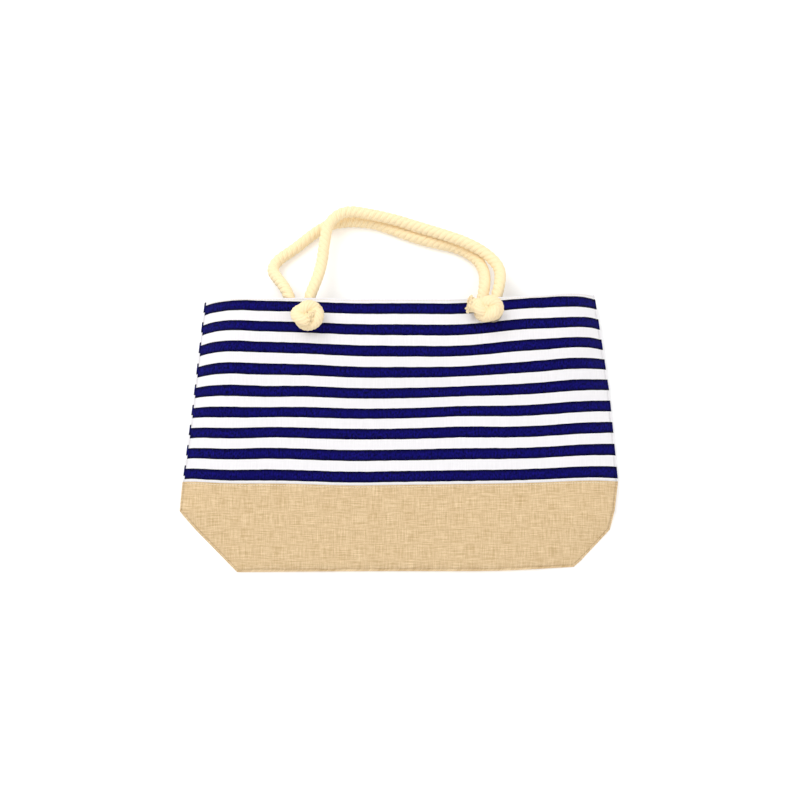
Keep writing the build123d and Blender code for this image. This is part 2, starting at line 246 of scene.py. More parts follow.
# Route of each rope: in through its wall, out of the mouth, round and back
FRONT_ROUTE = (
    (0.107, 0.134, 0.0493),
    (0.107, 0.134, 0.0382),
    (0.111, 0.155, 0.038),
    (0.117, 0.176, 0.0365),
    (0.1185, 0.199, 0.0265),
    (0.103, 0.2185, 0.0236),
    (0.078, 0.2335, 0.0226),
    (0.050, 0.2445, 0.020),
    (0.022, 0.2545, 0.0178),
    (-0.006, 0.263, 0.020),
    (-0.034, 0.2685, 0.023),
    (-0.066, 0.273, 0.0255),
    (-0.086, 0.257, 0.025),
    (-0.090, 0.231, 0.0255),
    (-0.092, 0.205, 0.029),
    (-0.097, 0.181, 0.0365),
    (-0.106, 0.158, 0.038),
    (-0.107, 0.134, 0.0382),
    (-0.107, 0.134, 0.0493),
)
BACK_ROUTE = (
    (0.092, 0.134, 0.0273),
    (0.092, 0.134, 0.0382),
    (0.0955, 0.155, 0.038),
    (0.0995, 0.176, 0.035),
    (0.100, 0.199, 0.019),
    (0.090, 0.220, 0.0085),
    (0.067, 0.233, 0.0071),
    (0.041, 0.2385, 0.0071),
    (0.015, 0.246, 0.0071),
    (-0.010, 0.256, 0.0071),
    (-0.034, 0.2645, 0.0071),
    (-0.062, 0.2665, 0.0071),
    (-0.087, 0.262, 0.0071),
    (-0.107, 0.248, 0.0071),
    (-0.127, 0.230, 0.0071),
    (-0.148, 0.215, 0.008),
    (-0.1525, 0.1995, 0.015),
    (-0.1445, 0.186, 0.026),
    (-0.1345, 0.171, 0.035),
    (-0.127, 0.154, 0.038),
    (-0.124, 0.134, 0.0382),
    (-0.124, 0.134, 0.0273),
)

KNOT_ROPE = 0.0142
KNOT_LAY = 0.030
KNOT_YARNS = 8
YARN_SHARE = 0.36  # a yarn's radius, of the rope's
KNOT_RADIUS = 0.0098  # of the rope's way round the knot
KNOT_WAVE = 0.0024  # in and out on that way
KNOT_RISE = 0.0058  # up and down on it
CORE_RADIUS = 0.0105
CORE_HALF_HEIGHT = 0.0095
FRAY_LENGTH = 0.0030
FRAY_YARNS = 80
FRAY_YARN_RADIUS = 0.0014
FRAY_STRAY = 0.0009
TAIL_SPREAD = 1.8  # a tail's end across, of its yarns' spread
GOLDEN_ANGLE = 2.39996  # spreads the yarns evenly over the cut end

# Wall, side, centre, turn, tilt, squeeze, tail's end from the centre, its yarns' spread, body
KNOTS = (
    ("front", "left", (-0.1048, 0.1275, 0.0632), 0.9, 0.14, (1.08, 0.86, 1.0),
     (0.0060, -0.0055, 0.0045), 0.0095, "front_wall"),
    ("front", "right", (0.1002, 0.1356, 0.0630), 2.30, -0.12, (0.95, 0.76, 1.0),
     (-0.0200, 0.0045, 0.0015), 0.0105, "front_wall"),
    ("back", "left", (-0.122, 0.132, 0.0138), 1.20, 0.0, (1.0, 0.9, 1.0),
     (-0.008, -0.014, 0.002), 0.0085, "bag_body"),
    ("back", "right", (0.0915, 0.134, 0.0138), 0.10, 0.0, (1.0, 0.9, 1.0),
     (0.009, -0.013, 0.002), 0.0085, "bag_body"),
)

CAMERA_AIM = np.array([0.0, 0.0445, 0.0])
CAMERA_DISTANCE = 1.5
CAMERA_ELEVATION = math.radians(75.0)
CAMERA_LENS = 57.69  # in millimetres, as is the sensor
CAMERA_SENSOR = 36.0
FLOOR_HALF = 3
PAPER_GLOW = 0.12
WORLD_STRENGTH = 0.92
# Lights, as place, width and power
KEY_LIGHT = ((-0.9, 0.9, 1.9), 1.4, 20.0)
FILL_LIGHT = ((1.2, -1.0, 1.8), 1.8, 8.0)


# ---- Material helpers ----
def colour(red, green, blue):
    """Linear RGBA of a display colour given from 0 to 255."""
    shares = [channel / 255 for channel in (red, green, blue)]
    linear = [s / 12.92 if s <= 0.04045 else ((s + 0.055) / 1.055) ** 2.4 for s in shares]
    return (*linear, 1.0)


class Finish:
    """One procedural material: its node tree, and short calls that add to it."""

    def __init__(self, name, roughness, **fixed):
        self.material = bpy.data.materials.new(name)
        self.material.use_nodes = True
        self.tree = self.material.node_tree
        self.shader = self.tree.nodes["Principled BSDF"]
        self.shader.inputs["Roughness"].default_value = roughness
        for socket, value in fixed.items():
            self.shader.inputs[socket.replace("_", " ")].default_value = value

    def put(self, socket, value):
        """Link a socket's input, or set it to a plain value."""
        if isinstance(value, bpy.types.NodeSocket):
            self.tree.links.new(value, socket)
        else:
            socket.default_value = value

    def node(self, kind, inputs, **settings):
        """A new node with these inputs and settings."""
        made = self.tree.nodes.new(kind)
        for name, value in settings.items():
            setattr(made, name, value)
        for name, value in inputs.items():
            self.put(made.inputs[name], value)
        return made

    def math(self, operation, first, second=0.0, third=0.0):
        """The result of one sum on plain values or sockets."""
        inputs = {0: first, 1: second}
        if operation == "MULTIPLY_ADD":
            inputs[2] = third
        return self.node("ShaderNodeMath", inputs, operation=operation).outputs[0]

    def coordinates(self):
        """The place in the cloth, or along the rope, that the mesh carries."""
        place = self.node("ShaderNodeAttribute", {}, attribute_name="cloth").outputs["Vector"]
        parts = self.node("ShaderNodeSeparateXYZ", {"Vector": place})
        return place, parts.outputs["X"], parts.outputs["Y"]

    def noise(self, place, stretch, detail=2.0, roughness=0.5):
        """Noise from 0 to 1 with its own frequency along each coordinate, per metre."""
        scaled = self.node(
            "ShaderNodeVectorMath", {0: place, 1: stretch}, operation="MULTIPLY"
        ).outputs[0]
        inputs = {"Vector": scaled, "Scale": 1.0, "Detail": detail, "Roughness": roughness}
        return self.node("ShaderNodeTexNoise", inputs).outputs[0]

    def wave(self, along, pitch):
        """Wave from -1 to 1 that passes 0 once every pitch."""
        return self.math("SINE", self.math("MULTIPLY", along, math.pi / pitch))

    def ridges(self, along, pitch):
        """Rounded ridges from 0 to 1, one every pitch."""
        return self.math("ABSOLUTE", self.wave(along, pitch))

    def mix(self, share, first, second):
        """The first colour where share is 0, and the second where it is 1."""
        made = self.node("ShaderNodeMix", {"Factor": share}, data_type="RGBA")
        self.put(made.inputs[6], first)
        self.put(made.inputs[7], second)
        return made.outputs[2]

    def band(self, value, low, high):
        """The value stretched so that low is 0 and high is 1."""
        inputs = {"Value": value, "From Min": low, "From Max": high}
        return self.node("ShaderNodeMapRange", inputs).outputs[0]

    def bump(self, height, depth, strength):
        """Relief of this depth in metres, where height goes from 0 to 1."""
        inputs = {"Height": height, "Distance": depth, "Strength": strength}
        bumped = self.node("ShaderNodeBump", inputs)
        self.put(self.shader.inputs["Normal"], bumped.outputs[0])

    def paint(self, value):
        """The finished material, in this colour."""
        self.put(self.shader.inputs["Base Color"], value)
        return self.material


def woven_height(finish, across, along, pitch):
    """Plain weave: ribs over and under each other."""
    warp = finish.ridges(across, pitch)
    weft = finish.ridges(along, pitch)
    crossing = finish.math("MULTIPLY", finish.wave(across, pitch), finish.wave(along, pitch))
    over = finish.math("GREATER_THAN", crossing, 0.0)
    under = finish.math("SUBTRACT", 1.0, over)
    raised = finish.math("MULTIPLY_ADD", warp, over, finish.math("MULTIPLY", weft, under))
    return finish.math("MULTIPLY_ADD", warp, 0.5, raised)


# ---- Materials ----
def make_canvas(name, shift):
    """White canvas printed with navy stripes across it, in deeper ink along their edges. Both
    colours are lighter on the raised ribs: partly thread tone, partly painted highlight.
    """
    canvas = Finish(name, 0.9, Specular_IOR_Level=0.08)
    place, across, along = canvas.coordinates()
    wander = canvas.noise(place, (70.0, 70.0, 1.0))
    ragged = canvas.noise(place, (1500.0, 500.0, 1.0))
    rag = canvas.math("MULTIPLY", ragged, STRIPE_RAG)
    edge = canvas.math("MULTIPLY_ADD", wander, STRIPE_WANDER, rag)
    mean_edge = (STRIPE_WANDER + STRIPE_RAG) / 2
    height = canvas.math("ADD", along, canvas.math("SUBTRACT", edge, mean_edge + shift))
    count = canvas.math("DIVIDE", canvas.math("SUBTRACT", STRIPE_TOP, height), STRIPE_PITCH)
    stripe_share = STRIPE_WIDTH / STRIPE_PITCH
    phase = canvas.math("FRACT", count)
    inked = canvas.math("LESS_THAN", phase, stripe_share)
    below_top = canvas.math("GREATER_THAN", count, 0.0)
    above_last = canvas.math("LESS_THAN", count, float(STRIPE_COUNT))
    navy = canvas.math("MULTIPLY", inked, canvas.math("MULTIPLY", below_top, above_last))

    rib = canvas.noise(place, (1100.0, 60.0, 1.0), 3.0)
    speck = canvas.noise(place, (520.0, 340.0, 1.0), 1.0)
    # Speckled grain, plus a painted highlight where the ribs are raised
    grain_and_rib_highlight = canvas.math("MULTIPLY_ADD", speck, 0.6, canvas.math("MULTIPLY", rib, 0.4))
    cloud = canvas.noise(place, (28.0, 28.0, 1.0), 3.0)
    # White and navy both lighter where the ribs are raised: painted highlight mixed with thread
    # tone
    white = canvas.mix(canvas.band(rib, 0.3, 0.75), colour(236, 234, 236), colour(244, 242, 244))
    deep = canvas.mix(canvas.band(grain_and_rib_highlight, 0.38, 0.64), colour(0, 0, 36), colour(24, 19, 126))
    dyed = canvas.mix(canvas.band(cloud, 0.35, 0.9), deep, colour(8, 6, 90))
    from_middle = canvas.math("ABSOLUTE", canvas.math("SUBTRACT", phase, stripe_share / 2))
    rim_start = stripe_share / 2 - RIM_WIDTH / STRIPE_PITCH
    rim = canvas.band(from_middle, rim_start, stripe_share / 2)
    dyed = canvas.mix(rim, dyed, colour(0, 0, 8))
    weave = woven_height(canvas, across, along, CANVAS_WEAVE)
    canvas.bump(canvas.math("MULTIPLY_ADD", rib, 0.8, weave), 0.00022, 0.8)
    return canvas.paint(canvas.mix(navy, white, dyed))


def make_jute(name):
    """Natural jute cloth with slubs and darker threads both ways, and painted shade in the gaps of
    its weave.
    """
    jute = Finish(name, 0.88, Sheen_Weight=0.05, Specular_IOR_Level=0.2)
    place, across, along = jute.coordinates()
    weft = jute.noise(place, (55.0, 1050.0, 1.0), 3.0, 0.6)
    warp = jute.noise(place, (1050.0, 55.0, 1.0), 3.0, 0.6)
    slub = jute.noise(place, (210.0, 420.0, 1.0), 2.0)
    threads = jute.math("MULTIPLY_ADD", weft, 0.55, jute.math("MULTIPLY", warp, 0.45))
    tone = jute.math("MULTIPLY_ADD", slub, 0.10, jute.math("MULTIPLY", threads, 0.90))
    ground = jute.mix(jute.band(tone, 0.37, 0.63), colour(198, 165, 117), colour(245, 219, 178))
    dark_weft = jute.band(jute.noise(place, (48.0, 1300.0, 1.0), 1.0), 0.64, 0.74)
    dark_warp = jute.band(jute.noise(place, (1300.0, 48.0, 1.0), 1.0), 0.65, 0.75)
    worn = jute.mix(jute.math("MULTIPLY", dark_weft, 0.45), ground, colour(176, 140, 92))
    worn = jute.mix(jute.math("MULTIPLY", dark_warp, 0.40), worn, colour(176, 140, 92))
    weave = woven_height(jute, across, along, JUTE_WEAVE)
    # Darker where the weave is low: painted shade in the gaps between threads
    weave_gap_shade = jute.band(weave, 0.05, 0.35)
    jute.bump(jute.math("MULTIPLY_ADD", threads, 1.6, weave), 0.00040, 0.8)
    return jute.paint(jute.mix(weave_gap_shade, colour(186, 152, 104), worn))


def make_plain(name, ground, shade, roughness):
    """Plain woven cotton, for the lining, the tape and the thread."""
    cotton = Finish(name, roughness, Sheen_Weight=0.05, Specular_IOR_Level=0.25)
    place, across, along = cotton.coordinates()
    tone = cotton.noise(place, (900.0, 120.0, 1.0), 3.0)
    weave = woven_height(cotton, across, along, COTTON_WEAVE)
    cotton.bump(weave, 0.00012, 0.7)
    return cotton.paint(cotton.mix(cotton.band(tone, 0.3, 0.7), shade, ground))


def make_rope_finish(name):
    """Soft twisted cotton: fine yarns along each strand, with a little fluff between them, and
    painted shade in the grooves between the yarns.
    """
    cotton = Finish(name, 0.9, Sheen_Weight=0.12, Sheen_Roughness=0.6, Specular_IOR_Level=0.15)
    place, around, along = cotton.coordinates()
    twist = cotton.math("MULTIPLY_ADD", around, 9.0, cotton.math("MULTIPLY", along, 130.0))
    loose = cotton.math("MULTIPLY_ADD", cotton.noise(place, (4.0, 260.0, 1.0)), 0.7, twist)
    yarns = cotton.ridges(loose, 1.0)
    fluff = cotton.noise(place, (22.0, 700.0, 1.0), 4.0, 0.7)
    # Darker in the grooves between yarns: painted shade, mixed with random fluff tone
    tone = cotton.math("MULTIPLY_ADD", yarns, 0.5, cotton.math("MULTIPLY", fluff, 0.5))
    cotton.bump(cotton.math("MULTIPLY_ADD", fluff, 1.2, yarns), 0.0003, 0.75)
    # The darker colour is the painted groove shade and the fluff's darker tone
    return cotton.paint(
        cotton.mix(cotton.band(tone, 0.15, 0.6), colour(236, 207, 154), colour(251, 231, 190))
    )


def make_nickel(name):
    """Brushed nickel with faint scuffs."""
    nickel = Finish(name, 0.3, Metallic=1.0)
    place = nickel.node("ShaderNodeTexCoord", {}).outputs["Object"]
    scuffs = nickel.noise(place, (900.0, 220.0, 400.0), 4.0, 0.6)
    nickel.put(nickel.shader.inputs["Roughness"], nickel.band(scuffs, -0.6, 2.4))
    nickel.bump(scuffs, 0.00004, 0.5)
    return nickel.paint(nickel.mix(scuffs, colour(178, 174, 168), colour(216, 213, 206)))


CANVAS = make_canvas("striped_canvas_front", 0.0)
BACK_CANVAS = make_canvas("striped_canvas_back", BACK_STRIPE_SHIFT)
JUTE = make_jute("jute_cloth")
LINING_CLOTH = make_plain("lining_cotton", colour(236, 230, 216), colour(222, 214, 197), 0.85)
TAPE = make_plain("binding_tape", colour(232, 222, 198), colour(212, 200, 172), 0.8)
THREAD = make_plain("sewing_thread", colour(246, 238, 220), colour(230, 218, 192), 0.6)
ROPE = make_rope_finish("cotton_rope")
NICKEL = make_nickel("nickel")


# ---- Shape helpers ----
def eased(share):
    """0 to 1, starting and ending gently."""
    share = np.clip(share, 0.0, 1.0)
    return share * share * (3.0 - 2.0 * share)


def through(table, at, column=1):
    """Smooth curve through the rows of a table, with no overshoot between them."""
    stops = np.array([row[0] for row in table])
    values = np.array([row[column] for row in table])
    widths = np.diff(stops)
    rises = np.diff(values) / widths
    slopes = np.concatenate([rises[:1], np.zeros(len(stops) - 2), rises[-1:]])
    for i in range(1, len(stops) - 1):
        if rises[i - 1] * rises[i] > 0:
            slopes[i] = 2 * rises[i - 1] * rises[i] / (rises[i - 1] + rises[i])
    at = np.clip(at, stops[0], stops[-1])
    i = np.clip(np.searchsorted(stops, at, side="right") - 1, 0, len(stops) - 2)
    t = (at - stops[i]) / widths[i]
    start = (2 * t**3 - 3 * t**2 + 1) * values[i] + (t**3 - 2 * t**2 + t) * widths[i] * slopes[i]
    end = (3 * t**2 - 2 * t**3) * values[i + 1] + (t**3 - t**2) * widths[i] * slopes[i + 1]
    return start + end


def bell(distance, reach):
    """1 in the middle, falling off smoothly over its reach."""
    return np.exp(-((distance / reach) ** 2))


def inset(outline, distance):
    """The open outline, moved to its left by distance, with mitred corners."""
    points = np.array(outline)
    runs = np.diff(points, axis=0)
    normals = np.stack([-runs[:, 1], runs[:, 0]], axis=1) / np.linalg.norm(runs, axis=1)[:, None]
    before = np.concatenate([normals[:1], normals])
    after = np.concatenate([normals, normals[-1:]])
    mitres = before + after
    mitres /= (mitres * before).sum(axis=1)[:, None]
    return points + mitres * distance


OUTLINE = inset(LEFT_SIDE + RIGHT_SIDE, EDGE_INSET)
LEFT_EDGE = OUTLINE[: len(LEFT_SIDE)][::-1]
RIGHT_EDGE = OUTLINE[len(LEFT_SIDE) :]
FOLD_Y = OUTLINE[LEFT_BOTTOM][1]  # where the bottom fold begins


def left_edge(y):
    return np.interp(y, LEFT_EDGE[:, 1], LEFT_EDGE[:, 0])


def right_edge(y):
    return np.interp(y, RIGHT_EDGE[:, 1], RIGHT_EDGE[:, 0])


def from_side(x, y):
    """Distance in from the nearer side seam."""
    return np.minimum(x - left_edge(y), right_edge(y) - x)


def wall_height(table, x, y):
    """Outer surface of a wall: full in the middle, rounding off to the side seams."""
    middle = through(table, y)
    side = through(table, y, 2)
    fullness = 1.0 - (1.0 - np.clip(from_side(x, y) / MARGIN, 0.0, 1.0)) ** 2
    return side + (middle - side) * fullness


def local_sum(spots, x, y):
    """The sum of round spots, as (x, y, reach, size)."""
    return sum(size * bell(np.hypot(x - cx, y - cy), reach) for cx, cy, reach, size in spots)


def front_height(x, y):
    dents = local_sum(DENTS, x, y) * eased(from_side(x, y) / DENT_MARGIN)
    return wall_height(FRONT_HEIGHTS, x, y) + dents


def back_height(x, y):
    return wall_height(BACK_HEIGHTS, x, y)


def creep(x, y):
    """How far the cloth has slid towards the mouth."""
    moved = sum(through(rows, y) * bell(x - cx, reach) for cx, reach, rows in CREEP)
    return moved + local_sum(PULLS, x, y)


# ---- Mesh helpers ----
def build(name, grids, materials):
    """One mesh from grids of (points, cloth coordinates, material index)."""
    vertices, coordinates, faces, indices = [], [], [], []
    for points, cloth, index in grids:
        rows, columns = points.shape[:2]
        start = len(vertices)
        vertices.extend(points.reshape(-1, 3).tolist())
        coordinates.extend(cloth.reshape(-1, 3).tolist())
        corner = start + np.arange(rows * columns).reshape(rows, columns)
        near, far = corner[:-1], corner[1:]
        quads = np.stack([near[:, :-1], near[:, 1:], far[:, 1:], far[:, :-1]], axis=-1)
        faces.extend(quads.reshape(-1, 4).tolist())
        indices.extend([index] * ((rows - 1) * (columns - 1)))
    mesh = bpy.data.meshes.new(name)
    mesh.from_pydata(vertices, [], faces)
    mesh.polygons.foreach_set("use_smooth", [True] * len(faces))
    mesh.polygons.foreach_set("material_index", indices)
    for material in materials:
        mesh.materials.append(material)
    attribute = mesh.attributes.new("cloth", "FLOAT_VECTOR", "POINT")
    attribute.data.foreach_set("vector", np.array(coordinates, np.float32).ravel())
    mesh.update()
    piece = bpy.data.objects.new(name, mesh)
    bpy.context.scene.collection.objects.link(piece)
    return piece


def thicken(piece, thickness, offset=-1.0):
    """Give the cloth its thickness, below its surface unless the offset says otherwise."""
    solid = piece.modifiers.new("cloth_thickness", "SOLIDIFY")
    solid.thickness = thickness
    solid.offset = offset
    solid.use_even_offset = False


def flat_cloth(x, y):
    """Cloth coordinates of places on a wall."""
    return np.stack([x, y, np.zeros_like(x)], axis=-1)


def along_path(path):
    """How far along the path each of its points lies."""
    steps = np.linalg.norm(np.diff(path, axis=0), axis=1)
    return np.concatenate([[0.0], np.cumsum(steps)])


def directions(path):
    """Unit vectors along a path."""
    tangent = np.gradient(path, axis=0)
    return tangent / np.linalg.norm(tangent, axis=1)[:, None]


def tube(path, radius, toward, around, label=0.0):
    """Grid of rings along a path; the first column of each ring looks along toward."""
    tangent = directions(path)
    first = toward - (toward * tangent).sum(axis=1)[:, None] * tangent
    first /= np.linalg.norm(first, axis=1)[:, None]
    second = np.cross(tangent, first)
    turn = np.linspace(0.0, 2 * math.pi, around + 1)
    cosine, sine = np.cos(turn)[None, :, None], np.sin(turn)[None, :, None]
    reach = np.broadcast_to(radius, (len(path),))[:, None, None]
    points = path[:, None] + reach * (cosine * first[:, None] + sine * second[:, None])
    cloth = np.empty(points.shape)
    cloth[..., 0] = (turn / (2 * math.pi))[None, :]
    cloth[..., 1] = along_path(path)[:, None]
    cloth[..., 2] = label
    return points, cloth


def carried_frame(path):
    """Two directions square to the path that don't twist along it."""
    tangent = directions(path)
    side = np.empty_like(tangent)
    ahead = np.array([1.0, 0.0, 0.0]) if abs(tangent[0, 0]) < 0.8 else np.array([0.0, 1.0, 0.0])
    for i in range(len(path)):
        side[i] = ahead - (ahead @ tangent[i]) * tangent[i]
        side[i] /= np.linalg.norm(side[i])
        ahead = side[i]
    return side, np.cross(tangent, side)


def strands(path, diameter, lay, count=3, share=STRAND_SHARE):
    """Soft strands laid left-handed round a path, pressed into each other."""
    outside = np.broadcast_to(diameter, (len(path),)) / 2
    radius = outside * share
    swing = (outside - radius)[:, None]
    side, other = carried_frame(path)
    turn = -2 * math.pi * along_path(path) / lay
    grids = []
    for number in range(count):
        angle = (turn + 2 * math.pi * number / count)[:, None]
        outward = np.cos(angle) * side + np.sin(angle) * other
        points, cloth = tube(path + swing * outward, radius, -outward, 14, float(number))
        grids.append((points, cloth, 0))
    return grids


def sample_route(route, step=0.0015):
    """Evenly spaced points read from the NURBS spline of a route."""
    data = bpy.data.curves.new("route", "CURVE")
    data.dimensions = "3D"
    spline = data.splines.new("NURBS")
    spline.points.add(len(route) - 1)
    for point, place in zip(spline.points, route):
        point.co = (*place, 1.0)
    spline.order_u = 3
    spline.use_endpoint_u = True
    spline.resolution_u = 24
    holder = bpy.data.objects.new("route", data)
    line = bpy.data.meshes.new_from_object(holder)
    points = np.array([vertex.co for vertex in line.vertices])
    bpy.data.objects.remove(holder)
    bpy.data.curves.remove(data)
    bpy.data.meshes.remove(line)
    travelled = along_path(points)
    even = np.linspace(0.0, travelled[-1], round(travelled[-1] / step) + 1)
    return np.stack([np.interp(even, travelled, points[:, axis]) for axis in range(3)], axis=1)


# ---- Camera, almost straight above the bag ----
camera_data = bpy.data.cameras.new("camera")
camera_data.lens = CAMERA_LENS
camera_data.sensor_width = CAMERA_SENSOR
camera = bpy.data.objects.new("camera", camera_data)
bpy.context.scene.collection.objects.link(camera)
bpy.context.scene.camera = camera
towards = np.array([0.0, -math.cos(CAMERA_ELEVATION), math.sin(CAMERA_ELEVATION)])
camera.location = CAMERA_AIM + CAMERA_DISTANCE * towards
camera.rotation_euler = (math.pi / 2 - CAMERA_ELEVATION, 0.0, 0.0)

# ---- Rope handles ----
for wall, route, length, wall_body in (
    ("front", FRONT_ROUTE, FRONT_ROPE_LENGTH, "front_wall"),
    ("back", BACK_ROUTE, BACK_ROPE_LENGTH, "bag_body"),
):
    line = sample_route(route)
    handle = build(f"{wall}_handle", strands(line, ROPE_DIAMETER, ROPE_LAY), [ROPE])
    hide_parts(f"{wall}_handle_rope", f"{wall}_left_rope_end", f"{wall}_right_rope_end")
    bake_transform(handle)


# ---- Knots ----
def knot_path(turn, tilt, samples=150):
    """Tight overhand knot: a rope twice round a small hole, crossing itself three times."""
    t = np.linspace(0.0, 2 * math.pi, samples)
    out = KNOT_RADIUS + KNOT_WAVE * np.cos(3 * t)
    up = KNOT_RISE * np.sin(3 * t)
    local = np.stack([out * np.cos(2 * t), out * np.sin(2 * t), up], axis=1)
    cos_tilt, sin_tilt = math.cos(tilt), math.sin(tilt)
    leaning = np.array([[1, 0, 0], [0, cos_tilt, -sin_tilt], [0, sin_tilt, cos_tilt]])
    cos_turn, sin_turn = math.cos(turn), math.sin(turn)
    turning = np.array([[cos_turn, -sin_turn, 0], [sin_turn, cos_turn, 0], [0, 0, 1]])
    return local @ (turning @ leaning).T


def knot_core(centre, squeeze):
    """Rope hidden in the middle of the knot."""
    height = np.linspace(-1.0, 1.0, 18)
    path = np.array(centre) + height[:, None] * (0.0, 0.0, CORE_HALF_HEIGHT)
    radius = CORE_RADIUS * np.sqrt(np.maximum(1.0 - height**2, 0.004))
    points, cloth = tube(path, radius, np.broadcast_to((1.0, 0.0, 0.0), path.shape), 20)
    return np.array(centre) + (points - centre) * squeeze, cloth, 0


def frayed_end(source, start, direction, radius):
    """Yarns that fan out from a cut rope end."""
    direction = np.array(direction) / np.linalg.norm(direction)
    side = np.cross(direction, (0.0, 1.0, 0.2))
    side /= np.linalg.norm(side)
    other = np.cross(direction, side)
    share = np.linspace(0.0, 1.0, 8)[:, None]
    grids = []
    for number in range(FRAY_YARNS):
        out = math.sqrt((number + 0.5) / FRAY_YARNS)
        angle = number * GOLDEN_ANGLE
        outward = math.cos(angle) * side + math.sin(angle) * other
        reach = FRAY_LENGTH * source.uniform(0.8, 1.1) * (1.2 - 0.55 * out**2)
        flare = out * radius * (0.88 + 0.16 * share)
        stray = np.array([source.gauss(0, FRAY_STRAY) for _ in range(3)]) * share**2
        path = np.array(start) + reach * share * direction + flare * outward + stray
        thickness = FRAY_YARN_RADIUS * np.array([1, 1.05, 1.1, 1.1, 1.05, 0.95, 0.75, 0.25])
        toward = np.broadcast_to(outward, path.shape)
        grids.append((*tube(path, thickness, toward, 8, source.random()), 0))
    return grids


for wall, side, centre, turn, tilt, squeeze, tail, fray, body in KNOTS:
    source = random.Random(f"{wall} {side}")
    path = knot_path(turn, tilt) * squeeze + centre
    grids = strands(path, KNOT_ROPE, KNOT_LAY, KNOT_YARNS, YARN_SHARE)
    grids.append(knot_core(centre, squeeze))
    reach = np.linspace(0.1, 1.0, 16)
    tail_path = np.array(centre) + reach[:, None] * np.array(tail)
    opened = KNOT_ROPE + (TAIL_SPREAD * fray - KNOT_ROPE) * reach**2
    grids += strands(tail_path, opened, KNOT_LAY, KNOT_YARNS, YARN_SHARE)
    grids += frayed_end(source, tail_path[-1], tail, fray)
    knot = build(f"{wall}_{side}_rope_knot", grids, [ROPE])
    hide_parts(f"{wall}_{side}_knot")
    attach(knot, body)


# ---- Cloth helpers ----
def wall_places(low, high, rows, columns, side=0.0):
    """Places spread over a wall between two lines across it, as x and y."""
    y = np.linspace(low, high, rows)[:, None]
    left, right = left_edge(y) + side, right_edge(y) - side
    x = left + (right - left) * np.linspace(0.0, 1.0, columns)[None, :]
    return x, np.broadcast_to(y, x.shape)


def on_cloth(x, y, height, offset=0.0):
    """Points at these places of a wall, moved with its cloth."""
    return np.stack([x, y + creep(x, y), height(x, y) + offset], axis=-1)


def declare(piece, node, slot_name, held, flat, area):
    """Hide the CAD solid that a cloth piece stands for."""
    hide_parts(node)


def swing(piece):
    """Front cloth: its placement is baked into its mesh."""
    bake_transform(piece)


def hem_line(x):
    """The fold at the mouth, which isn't quite in line with the stripes."""
    return Y_MOUTH - sum(depth * bell(x - cx, reach) for cx, reach, depth in HEM_DIPS)


def hem_roll(x, height, inward):
    """Rows that roll the cloth over the mouth, from its outer face to its inner one."""
    fold = hem_line(x) - HEM_RADIUS
    rows, cloth = [], []
    for turn in np.radians(np.linspace(90.0, -90.0, 9)):
        y = fold + HEM_RADIUS * math.cos(turn)
        z = height(x, fold) - inward * HEM_RADIUS * (1 - math.sin(turn))
        rows.append(np.stack([x, y + creep(x, fold), z], axis=-1))
        cloth.append(flat_cloth(x, fold + HEM_RADIUS * (math.pi / 2 - turn)))
    return np.array(rows), np.array(cloth)


def outer_wall(height, inward):
    """A striped wall from the jute seam to the mouth, with its rolled hem."""
    x, y = wall_places(Y_JUTE, Y_MOUTH - HEM_RADIUS, WALL_ROWS, WALL_COLUMNS)
    squeeze = (hem_line(x) - HEM_RADIUS - Y_JUTE) / (Y_MOUTH - HEM_RADIUS - Y_JUTE)
    y = Y_JUTE + (y - Y_JUTE) * squeeze
    mouth_x, _ = wall_places(Y_MOUTH, Y_MOUTH, 1, WALL_COLUMNS)
    roll, roll_cloth = hem_roll(mouth_x[0], height, inward)
    points = np.concatenate([on_cloth(x, y, height), roll[1:]])
    return points, np.concatenate([flat_cloth(x, y), roll_cloth[1:]])


# ---- Striped walls ----
points, cloth = outer_wall(front_height, 1)
front_canvas = build("front_canvas", [(points, cloth, 0)], [CANVAS])
thicken(front_canvas, CLOTH)
declare(front_canvas, "front_stripe_panel", "striped_canvas", "stretched", *WALL_CUT)
swing(front_canvas)

points, cloth = outer_wall(back_height, -1)
back_canvas = build("back_canvas", [(points[:, ::-1], cloth[:, ::-1], 0)], [BACK_CANVAS])
thicken(back_canvas, CLOTH)
declare(back_canvas, "back_stripe_panel", "striped_canvas", "laid", *WALL_CUT)
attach(back_canvas, "bag_body")

# ---- Front of the jute base ----
x, y = wall_places(FOLD_Y, Y_JUTE, BASE_ROWS, WALL_COLUMNS)
grid = (on_cloth(x, y, front_height), flat_cloth(x, y), 0)
base_front = build("base_front", [grid], [JUTE])
thicken(base_front, CLOTH)
declare(base_front, "base_front_panel", "jute_cloth", "stretched", *BASE_FRONT_CUT)
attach(base_front, "bag_body")

# ---- Edges, where the cloth turns round the sides and the bottom ----
BULGED = inset(LEFT_SIDE + RIGHT_SIDE, EDGE_INSET - EDGE_BULGE)


def edge_roll(first, last, low, step=0.004):
    """Grid that turns down round the outline between two of its corners."""
    inner, outer = [], []
    for i in range(first, last):
        count = max(2, round(math.dist(OUTLINE[i], OUTLINE[i + 1]) / step))
        share = np.linspace(0.0, 1.0, count + 1)[:, None]
        inner.append(OUTLINE[i] * (1 - share) + OUTLINE[i + 1] * share)
        outer.append(BULGED[i] * (1 - share) + BULGED[i + 1] * share)
    inner, outer = np.concatenate(inner), np.concatenate(outer)
    x, y = inner[:, 0], inner[:, 1]
    top = front_height(x, y)
    bottom = low(x, y)
    crept = creep(x, y)
    turns = np.linspace(math.pi / 2, -math.pi / 2, 11)
    points = np.empty((len(inner), len(turns), 3))
    cloth = np.zeros(points.shape)
    for column, turn in enumerate(turns):
        place = inner + (outer - inner) * math.cos(turn)
        points[:, column, :2] = place
        points[:, column, 1] += crept
        points[:, column, 2] = (top + bottom) / 2 + (top - bottom) / 2 * math.sin(turn)
        cloth[:, column, 0] = x + column * EDGE_CLOTH_STEP
        cloth[:, column, 1] = y
    return points, cloth


